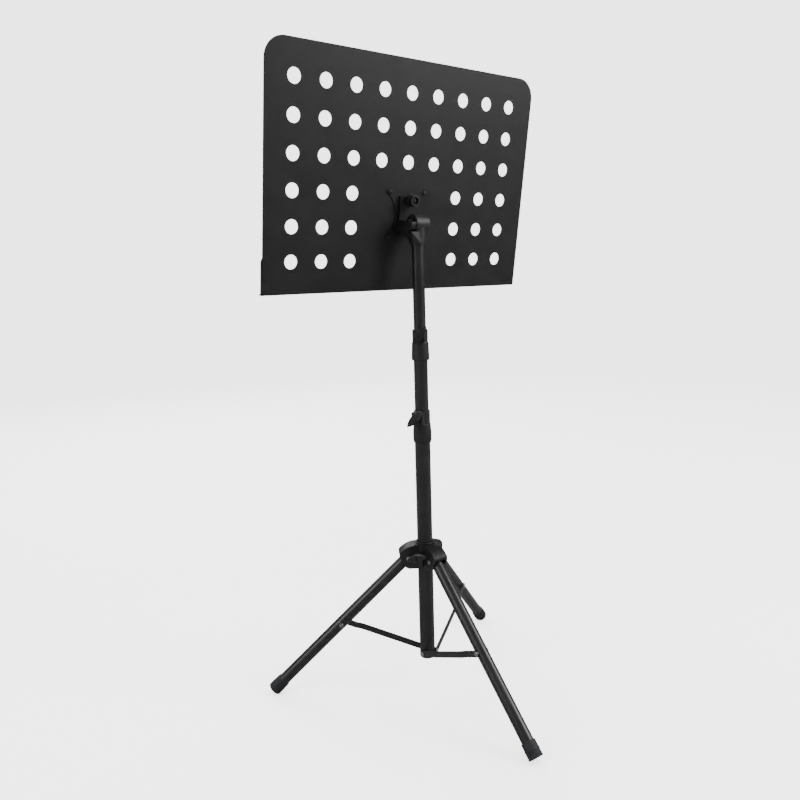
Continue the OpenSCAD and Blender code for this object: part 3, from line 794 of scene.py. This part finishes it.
    def side_strip(self, side: int) -> bmesh.types.BMesh:
        """The strip folded forwards along the foot of one side edge."""
        slope = self.tab_depth - self.sheet
        outline = [(0.0, 0.0), (-self.tab_depth, 0.0), (-self.tab_depth, self.tab_height - slope),
                   (-self.sheet, self.tab_height), (0.0, self.tab_height)]
        outer = self.half_width
        low, high = sorted((side * outer, side * (outer - self.sheet)))
        shape = prism([(n, v - self.down) for n, v in outline], low, high)
        soften(shape, self.edge, 3)
        on_side = Matrix(((0, 0, 1, self.shift), (1, 0, 0, 0), (0, 1, 0, 0), (0, 0, 0, 1)))
        return moved(shape, on_side)

    def build(self) -> None:
        """Thicken the skin, round its edges and add the side strips."""
        made = loose_object("desk_skin", self.skin())
        wall = made.modifiers.new("wall", "SOLIDIFY")
        wall.thickness = self.sheet
        wall.offset = -1.0
        wall.use_even_offset = True
        bake_modifiers(made)
        shape = taken_shape(made)
        soften(shape, self.edge, 2, 50.0)
        shape = combine(shape, self.side_strip(1), self.side_strip(-1))
        moved(shape, lean_matrix(self.origin, self.lean))
        self.piece("perforated_desk", shape, Slot.DESK, "desk", ["desk_panel"])


@dataclass
class Fasteners(Assembly):
    """Rivets of one kind, each set on its point along its own axis."""

    name: str
    body: str
    node: str
    profile: Sequence[Point]
    points: Sequence[tuple[Vector, Vector]]
    slot: Slot = Slot.ZINC
    segments: int = 28

    def tree(self) -> bpy.types.NodeTree:
        """Set a fastener on each point, its Z along the point's axis."""
        sheet, given, out = group_tree(
            "set_" + self.name, "GeometryNodeTree",
            [("Geometry", GEOMETRY, None), ("Fastener", "NodeSocketObject", None), ("Material", PAINT, None)],
            [("Geometry", GEOMETRY)])
        g = given.outputs
        axis = sheet.add("GeometryNodeInputNamedAttribute", {"Name": "axis"}, data_type="FLOAT_VECTOR")
        turn = sheet.add("FunctionNodeAlignRotationToVector", {"Vector": axis.outputs["Attribute"]},
                         axis="Z")
        source = sheet.add("GeometryNodeObjectInfo", {"Object": g["Fastener"]})
        made = sheet.copies(g["Geometry"], source.outputs["Geometry"], g["Material"],
                            Rotation=turn.outputs["Rotation"])
        return sheet.give(made, out, "Geometry")

    def build(self) -> None:
        """Make one fastener, set its copies and dress them."""
        fastener = loose_object(self.name + "_one", lathe(self.profile, self.segments))
        seats = bpy.data.meshes.new(self.name + "_seats")
        seats.from_pydata([point for point, _ in self.points], [], [])
        axes = seats.attributes.new("axis", "FLOAT_VECTOR", "POINT")
        for i, (_, axis) in enumerate(self.points):
            axes.data[i].vector = axis
        made = bpy.data.objects.new(self.name, seats)
        bpy.context.scene.collection.objects.link(made)
        run_nodes(made, self.tree(), {"Fastener": fastener, "Material": self.materials[self.slot]})
        shape = taken_shape(made)
        taken_shape(fastener).free()
        self.piece(self.name, shape, self.slot, self.body, [self.node])


@dataclass
class LockKnob(Assembly):
    """The knurled knob that locks the desk on its tongue."""

    desk: DeskPanel
    height: float = -31 * MM
    grip: tuple[float, float] = (11.5 * MM, 23 * MM)
    grip_radius: float = 8.4 * MM
    knurl_radius: float = 8.9 * MM
    base_radius: float = 9.8 * MM
    base: float = 3.5 * MM
    knurls: int = 24
    socket_radius: float = 5.4 * MM
    socket_depth: float = 5 * MM
    pin_drop: float = 2.5 * MM
    edge: float = 0.45 * MM
    rib_root: float = 0.6 * MM
    pin_radius: float = 3.2 * MM
    neck_radius: float = 5 * MM
    neck: float = 1.5 * MM
    screw_radius: float = 3 * MM
    tip: float = 4.95 * MM

    def rib(self) -> bmesh.types.BMesh:
        """One rounded rib, which starts inside the grip."""
        proud = self.knurl_radius - self.grip_radius
        flank = [(-self.rib_root, -0.8 * MM), (proud * 0.5, -0.6 * MM), (proud, -0.25 * MM)]
        outline = flank + [(x, -y) for x, y in flank[::-1]]
        shape = prism(outline, self.grip[0] + self.base - 0.5 * MM, self.grip[1] - 1.2 * MM)
        soften(shape, 0.2 * MM, 1, 60.0)
        return shape

    def build(self) -> None:
        """Turn the knob, set its ribs round it and dress it."""
        low, high = self.grip
        floor = high - self.socket_depth
        body = lathe([(0.0, self.tip), (self.screw_radius, self.tip), (self.screw_radius, low - self.neck),
                      (self.neck_radius, low - self.neck), (self.neck_radius, low),
                      (self.base_radius, low), (self.base_radius, low + self.base),
                      (self.grip_radius, low + self.base), (self.grip_radius, high),
                      (self.socket_radius, high),
                      (self.socket_radius, floor), (self.pin_radius, floor),
                      (self.pin_radius, high - self.pin_drop), (0.0, high - self.pin_drop)])
        soften(body, self.edge, 3)
        ribs = loose_object("lock_ribs", self.rib())
        run_nodes(ribs, ring_tree(), {"Count": self.knurls, "Radius": self.grip_radius,
                  "Material": self.materials[Slot.MOULDED]})
        shape = combine(body, taken_shape(ribs))
        outwards = Matrix.Rotation(-math.pi / 2, 4, "X")
        at_lock = lean_matrix(self.desk.origin, self.desk.lean) @ Matrix.Translation((0, 0, self.height))
        moved(shape, at_lock @ outwards)
        self.piece("lock_knob_turned", shape, Slot.MOULDED, "lock", ["lock_knob"])


@dataclass
class WingKnob(Assembly):
    """A clamp knob with a long oval leaf and a round boss in its middle."""

    level: str
    start: float
    azimuth: float
    height: float
    turn: float
    stem: float = 6.7 * MM
    stem_radius: float = 6 * MM
    leaf: float = 5 * MM
    half_length: float = 18.5 * MM
    half_width: float = 6.25 * MM
    offset: float = 2.5 * MM
    tip_cut: float = 18 * MM
    boss_radius: float = 4.75 * MM
    boss: float = 1.4 * MM
    ring: tuple[float, float] = (3.1 * MM, 3.7 * MM)
    ring_depth: float = 0.6 * MM

    def leaf_outline(self) -> list[Point]:
        """Two long arcs that meet in narrow blunt tips."""
        radius = (self.half_length ** 2 + self.half_width ** 2) / (2 * self.half_width)
        reach = math.degrees(math.asin(self.tip_cut / radius))
        upper = arc((self.offset, self.half_width - radius), radius, 90 - reach, 90 + reach, 28)
        return upper + [(x, -y) for x, y in upper[::-1]]

    def build(self) -> None:
        """Make the leaf, stem and boss, and set them on the knob's axis."""
        face = self.start + self.stem + self.leaf
        leaf = prism(self.leaf_outline(), self.start + self.stem, face)
        soften(leaf, 1.15 * MM, 4)
        root = self.start + self.stem + 1.0 * MM
        stem = lathe([(0.0, self.start), (self.stem_radius, self.start),
                      (self.stem_radius, root - 1.6 * MM), (self.stem_radius + 0.15 * MM, root),
                      (0.0, root)], 48)
        soften(stem, 0.4 * MM, 2)
        top = face + self.boss
        boss = lathe([(0.0, face - 1 * MM), (self.boss_radius, face - 1 * MM), (self.boss_radius, top),
                      (self.ring[1], top), (self.ring[1], top - self.ring_depth),
                      (self.ring[0], top - self.ring_depth), (self.ring[0], top), (0.0, top)], 48)
        soften(boss, 0.22 * MM, 2)
        shape = combine(leaf, stem, boss)
        azimuth = math.radians(self.azimuth)
        out = Vector((math.cos(azimuth), math.sin(azimuth), 0.0))
        side = Vector((-math.sin(azimuth), math.cos(azimuth), 0.0))
        turn = math.radians(self.turn)
        length = side * math.cos(turn) + Vector((0.0, 0.0, math.sin(turn)))
        place = Place(Vector((0.0, 0.0, self.height)), length, out)
        moved(shape, place.matrix())
        self.piece(self.level + "_wing_leaf", shape, Slot.MOULDED, self.level + "_knob",
                   [self.level + "_wing_knob"])
        self.carry(self.level + "_wing_screw", Slot.ZINC)
        self.carry(self.level + "_clamp_shoe", Slot.ZINC)


@dataclass
class Tube(Assembly):
    """A drawn tube of the mast with turned-in ends."""

    node: str
    radius: float
    wall: float = 1.2 * MM

    def build(self) -> None:
        """Turn the tube between the CAD tube's ends."""
        low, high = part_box(self.node)
        inner = self.radius - self.wall
        shape = lathe([(self.radius, low.z), (self.radius, high.z), (inner, high.z), (inner, low.z)], 96)
        soften(shape, 0.35 * MM, 2)
        body = frame["nodes"][self.node]["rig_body"]
        self.piece(self.node + "_drawn", shape, Slot.TUBE, body, [self.node])


@dataclass
class TiltJoint(Assembly):
    """Arm, head, friction disc and fasteners of the tilt."""

    pivot: Vector = field(default_factory=lambda: Vector((0.0, 0.0, 761 * MM)))
    disc: tuple[float, float] = (8 * MM, 11 * MM)
    disc_radius: float = 14 * MM
    groove: float = 0.9 * MM
    teeth: int = 28
    bore: float = 3.08 * MM

    def toothed_disc(self) -> None:
        """Turn the disc and set radial teeth on its face with the ring tree."""
        low, high = self.disc
        base = lathe([(self.bore, low), (self.disc_radius, low), (self.disc_radius, high - self.groove),
                      (self.bore, high - self.groove)], 112)
        soften(base, 0.25 * MM, 2)
        inner, outer = self.bore + 1.6 * MM, self.disc_radius - 0.2 * MM
        tooth = prism([(inner, -0.35 * MM), (outer, -0.95 * MM), (outer, 0.95 * MM), (inner, 0.35 * MM)],
                      high - 1.2 * self.groove, high)
        soften(tooth, 0.18 * MM, 1, 60.0)
        moved(tooth, Matrix.Translation((-0.01 * MM, 0, 0)))
        teeth = loose_object("disc_teeth", tooth)
        run_nodes(teeth, ring_tree(), {"Count": self.teeth, "Radius": 0.01 * MM,
                  "Material": self.materials[Slot.MOULDED]})
        shape = combine(base, taken_shape(teeth))
        moved(shape, Place(self.pivot, Vector((0, 0, -1)), Vector((1, 0, 0))).matrix())
        self.piece("toothed_friction_disc", shape, Slot.MOULDED, "upper_mast", ["friction_disc"])

    def build(self) -> None:
        """Build the joint's pieces."""
        self.toothed_disc()
        self.from_cad("tilt_arm", Slot.MOULDED, 0.6 * MM, 3)
        self.from_cad("tilt_head", Slot.MOULDED, 0.5 * MM, 3)
        self.from_cad("tilt_bolt", Slot.ZINC, 0.4 * MM, 2)
        self.carry("tilt_nut", Slot.ZINC)
        self.from_cad("mount_tongue", Slot.DESK, 0.3 * MM, 2)
        self.from_cad("tongue_screws", Slot.ZINC, 0.15 * MM, 1)


@dataclass
class Tripod(Assembly):
    """Legs, feet, stays and the spider that they fold on."""

    first_azimuth: float = math.radians(-33)
    pivot: Point = (28 * MM, 228 * MM)
    spider_pivot: Point = (6 * MM, 59 * MM)
    foot_reach: float = 257 * MM
    foot_axis: float = 8.6 * MM
    leg_radius: float = 9.5 * MM
    foot_radius: float = 11.5 * MM
    sleeve: float = 24 * MM
    groove: float = 0.8 * MM
    rib: float = 3 * MM
    rib_start: float = 1.2 * MM
    bead: float = 13 * MM
    chamfer: float = 1 * MM
    stop: float = 3 * MM
    leg_rivet: Rivet = (2 * MM, (0.0, -9.7 * MM, -9.7 * MM), (3.5 * MM, 9.5 * MM, 10.9 * MM))
    stay_rivet: Rivet = (2 * MM, (4 * MM, -11.55 * MM, -13 * MM), (0.0, -10 * MM, -10 * MM))
    hub_rivet: Rivet = (2.5 * MM, (4 * MM, -12.95 * MM, -14.4 * MM), (4 * MM, 12.95 * MM, 14.4 * MM))
    spider_rivet: Rivet = (2 * MM, (3.8 * MM, -14.85 * MM, -16.3 * MM), (0.0, -6 * MM, -6 * MM))

    def on_leg(self, index: int, place: Point) -> tuple[Vector, Vector]:
        """A point in a leg's upright plane, and the direction across that plane."""
        azimuth = self.first_azimuth + index * math.tau / 3
        out = Vector((math.cos(azimuth), math.sin(azimuth), 0.0))
        across = Vector((-math.sin(azimuth), math.cos(azimuth), 0.0))
        return out * place[0] + Vector((0.0, 0.0, place[1])), across

    def outer_pivot(self) -> Point:
        """Where a stay joins its leg, from the stay rivet's box."""
        low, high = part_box("stay_rivet_b")
        middle = (low + high) / 2
        azimuth = self.first_azimuth + math.tau / 3
        return middle.x * math.cos(azimuth) + middle.y * math.sin(azimuth), middle.z

    def foot(self, index: int, letter: str) -> None:
        """A ribbed rubber sleeve on a leg's end, worn flat where it stands.

        Args:
            index: Which leg.
            letter: The leg's letter.
        """
        origin, across = self.on_leg(index, self.pivot)
        tip, _ = self.on_leg(index, (self.foot_reach, self.foot_axis))
        end = (tip - origin).length + self.stop
        mouth = end - self.sleeve
        radius, waist = self.foot_radius, self.foot_radius - 0.4 * MM
        inner, floor = self.leg_radius + 0.02 * MM, end - self.stop
        profile = [(0.0, floor), (inner, floor), (inner, mouth), (radius - 0.8 * MM, mouth),
                   (waist, mouth + 1.2 * MM), (waist, end - self.bead - self.chamfer),
                   (radius, end - self.bead)]
        for ring in (3, 2, 1):
            groove = end - self.rib_start - ring * self.rib
            profile += [(radius, groove), (radius - self.groove, groove + 0.15 * MM),
                        (radius - self.groove, groove + 0.85 * MM), (radius, groove + 1 * MM)]
        profile += [(radius, end - self.chamfer), (radius - self.chamfer, end), (0.0, end)]
        shape = lathe(profile, 64)
        soften(shape, 0.3 * MM, 2)
        moved(shape, Place(origin, across, tip - origin).matrix())
        geometry = shape.verts[:] + shape.edges[:] + shape.faces[:]
        cut = bmesh.ops.bisect_plane(shape, geom=geometry, plane_co=(0.0, 0.0, 0.0),
                                     plane_no=(0.0, 0.0, -1.0), clear_outer=True)
        rim = [e for e in cut["geom_cut"] if isinstance(e, bmesh.types.BMEdge)]
        if rim:
            bmesh.ops.contextual_create(shape, geom=rim)
        bmesh.ops.recalc_face_normals(shape, faces=shape.faces)
        self.piece("foot_sleeve_" + letter, shape, Slot.RUBBER, "leg_" + letter, ["foot_" + letter])

    def build(self) -> None:
        """Build the legs one after the other, then what they share."""
        outer = self.outer_pivot()
        for index, letter in enumerate("abc"):
            self.from_cad("leg_" + letter, Slot.TUBE, 0.3 * MM, 2)
            self.foot(index, letter)
            self.from_cad("stay_" + letter, Slot.TUBE, 0.4 * MM, 2)
            for name, rides, rivet in (("leg_rivet_tail_", "leg_", self.leg_rivet),
                                       ("stay_rivet_head_", "stay_", self.stay_rivet)):
                Fasteners(name + letter, rides + letter, rides + "rivet_" + letter,
                          rivet_profile(*rivet), [self.on_leg(index, outer)]).build()
        for name, body, node, rivet, pivot in (
                ("leg_pivots", "runner", "leg_pivot_rivets", self.hub_rivet, self.pivot),
                ("spider_pivots", "stand", "spider_rivets", self.spider_rivet, self.spider_pivot)):
            Fasteners(name, body, node, rivet_profile(*rivet),
                      [self.on_leg(i, pivot) for i in range(3)]).build()
        self.from_cad("spider", Slot.MOULDED, 0.5 * MM, 3)


@dataclass(frozen=True)
class Softbox:
    """A rectangular area light: where it hangs, its two sides in metres and its power in watts."""

    name: str
    place: tuple[float, float, float]
    size: Point
    power: float


@dataclass
class Studio:
    """Floor, lights and camera."""

    lens: float = 33.435
    eye: Vector = field(default_factory=lambda: Vector((0.723, 0.913, 0.688)))
    right: Vector = field(default_factory=lambda: Vector((-0.79862, 0.60116, -0.02844)))
    ahead: Vector = field(default_factory=lambda: Vector((-0.58894, -0.79037, -0.16874)))
    floor_radius: float = 4.0
    sweep: float = 1.5
    wall_height: float = 4.2
    cloud_scale: float = 1.3
    floor_dark: tuple[float, float, float, float] = (0.80, 0.80, 0.80, 1.0)
    floor_light: tuple[float, float, float, float] = (0.84, 0.84, 0.84, 1.0)
    flag_grey: tuple[float, float, float, float] = (0.14, 0.14, 0.14, 1.0)
    lit_paper: float = 1.8
    sky_light: float = 2.2
    sky_gloss: float = 0.25
    sensor: float = 36.0
    aim: tuple[float, float, float] = (0.0, 0.0, 0.5)
    boxes: tuple[Softbox, ...] = (
        Softbox("key_softbox", (-2.0, 2.2, 2.3), (1.2, 2.0), 120.0),
        Softbox("edge_softbox", (2.6, -0.4, 1.8), (0.6, 2.0), 40.0),
        Softbox("back_softbox", (-0.6, -2.8, 2.2), (2.0, 1.4), 90.0))

    def floor(self) -> None:
        """A pale round floor that sweeps up into a wall all round."""
        profile = [(0.0, 0.0), (self.floor_radius, 0.0)]
        profile += [(self.floor_radius + self.sweep * math.sin(t), self.sweep * (1 - math.cos(t)))
                    for t in (math.radians(7.5 * i) for i in range(1, 13))]
        profile.append((self.floor_radius + self.sweep, self.wall_height))
        made = loose_object("studio_floor", lathe(profile, 96))
        made.data.shade_smooth()
        paint = bpy.data.materials.new("pale_floor")
        paint.use_nodes = True
        paint.node_tree.nodes.clear()
        sheet = NodeSheet(paint.node_tree)
        place = sheet.add("ShaderNodeTexCoord").outputs["Object"]
        cloud = sheet.noise(place, self.cloud_scale, 3.0)
        tone = sheet.mix_colour(cloud, self.floor_dark, self.floor_light)
        path = sheet.add("ShaderNodeLightPath")
        glow = sheet.maths("MULTIPLY", path.outputs["Is Camera Ray"], self.lit_paper)
        shader = sheet.add("ShaderNodeBsdfPrincipled", {"Base Color": tone, "Roughness": 0.6,
                           "Specular IOR Level": 0.2, "Emission Strength": glow,
                           "Emission Color": WHITE})
        flag = sheet.add("ShaderNodeBsdfDiffuse", {"Color": self.flag_grey})
        seen = sheet.add("ShaderNodeMixShader", {0: path.outputs["Is Glossy Ray"],
                         1: shader.outputs["BSDF"], 2: flag.outputs["BSDF"]})
        sheet.add("ShaderNodeOutputMaterial", {"Surface": seen.outputs["Shader"]})
        made.data.materials.append(paint)

    def light(self, box: Softbox) -> None:
        """An area light that faces the middle of the stand."""
        data = bpy.data.lights.new(box.name, "AREA")
        data.shape = "RECTANGLE"
        data.size, data.size_y = box.size
        data.energy = box.power
        lamp = bpy.data.objects.new(box.name, data)
        bpy.context.scene.collection.objects.link(lamp)
        lamp.location = box.place
        aim = Vector(self.aim) - Vector(box.place)
        lamp.rotation_euler = aim.to_track_quat("-Z", "Y").to_euler()

    def build(self) -> None:
        """Set the floor, the lights, the sky and the camera."""
        self.floor()
        for box in self.boxes:
            self.light(box)
        sky = bpy.data.worlds.new("soft_sky")
        sky.use_nodes = True
        sky.node_tree.nodes.clear()
        sheet = NodeSheet(sky.node_tree)
        path = sheet.add("ShaderNodeLightPath")
        gloss = sheet.maths("MULTIPLY", path.outputs["Is Glossy Ray"], self.sky_gloss - self.sky_light)
        strength = sheet.maths("ADD", gloss, self.sky_light)
        glow = sheet.add("ShaderNodeBackground", {"Color": WHITE, "Strength": strength})
        sheet.add("ShaderNodeOutputWorld", {"Surface": glow.outputs["Background"]})
        bpy.context.scene.world = sky
        data = bpy.data.cameras.new("camera")
        data.lens = self.lens
        data.sensor_width = self.sensor
        camera = bpy.data.objects.new("camera", data)
        bpy.context.scene.collection.objects.link(camera)
        up = self.right.cross(self.ahead)
        turn = Matrix((self.right, up, -self.ahead)).transposed().to_4x4()
        camera.matrix_world = Matrix.Translation(self.eye) @ turn
        bpy.context.scene.camera = camera


MAST_TUBES = (Tube("upper_tube", 9.5 * MM), Tube("middle_tube", 11 * MM), Tube("lower_tube", 12.5 * MM))
WING_KNOBS = (
    WingKnob("hub", start=26.3 * MM, azimuth=24, height=234 * MM, turn=20),
    WingKnob("lower", start=19.3 * MM, azimuth=24, height=460 * MM, turn=46),
    WingKnob("upper", start=18.3 * MM, azimuth=46, height=590 * MM, turn=53),
)
SEAT_ACROSS = 33 * MM
SEAT_HEIGHTS = (-86 * MM, -20 * MM)
DESK_RIVET = (1.85 * MM, (0.0, -1.2 * MM, -1.2 * MM), (3.6 * MM, 1.5 * MM, 3.5 * MM))


def main() -> None:
    """Build the studio, then every sub-assembly in order."""
    effects = SurfaceEffects()
    Assembly.materials = {slot: finish.material(effects) for slot, finish in FINISHES.items()}
    Studio().build()

    desk = DeskPanel()
    desk.build()
    cad = Assembly()
    cad.from_cad("desk_bracket", Slot.DESK, 0.4 * MM, 2)
    cad.from_cad("lock_nut", Slot.DESK, 0.5 * MM, 2)
    seats = [(x, v) for x in (-SEAT_ACROSS, SEAT_ACROSS) for v in SEAT_HEIGHTS]
    stand_up = lean_matrix(desk.origin, desk.lean)
    back = stand_up.to_3x3() @ Vector((0.0, 1.0, 0.0))
    Fasteners("desk_rivets", "desk", "bracket_rivets", rivet_profile(*DESK_RIVET),
              [(stand_up @ Vector((x, 0.0, v)), back) for x, v in seats], Slot.DESK).build()
    LockKnob(desk).build()
    TiltJoint().build()

    for tube in MAST_TUBES:
        tube.build()
    cad.carry("upper_bush", Slot.MOULDED)
    cad.carry("middle_bush", Slot.MOULDED)
    for node in ("upper_collar", "lower_collar"):
        cad.from_cad(node, Slot.MOULDED, 0.45 * MM, 3)
    cad.from_cad("hub_body", Slot.MOULDED, 0.4 * MM, 2)
    for knob in WING_KNOBS:
        knob.build()
    Tripod().build()


if __name__ == "__main__":
    main()
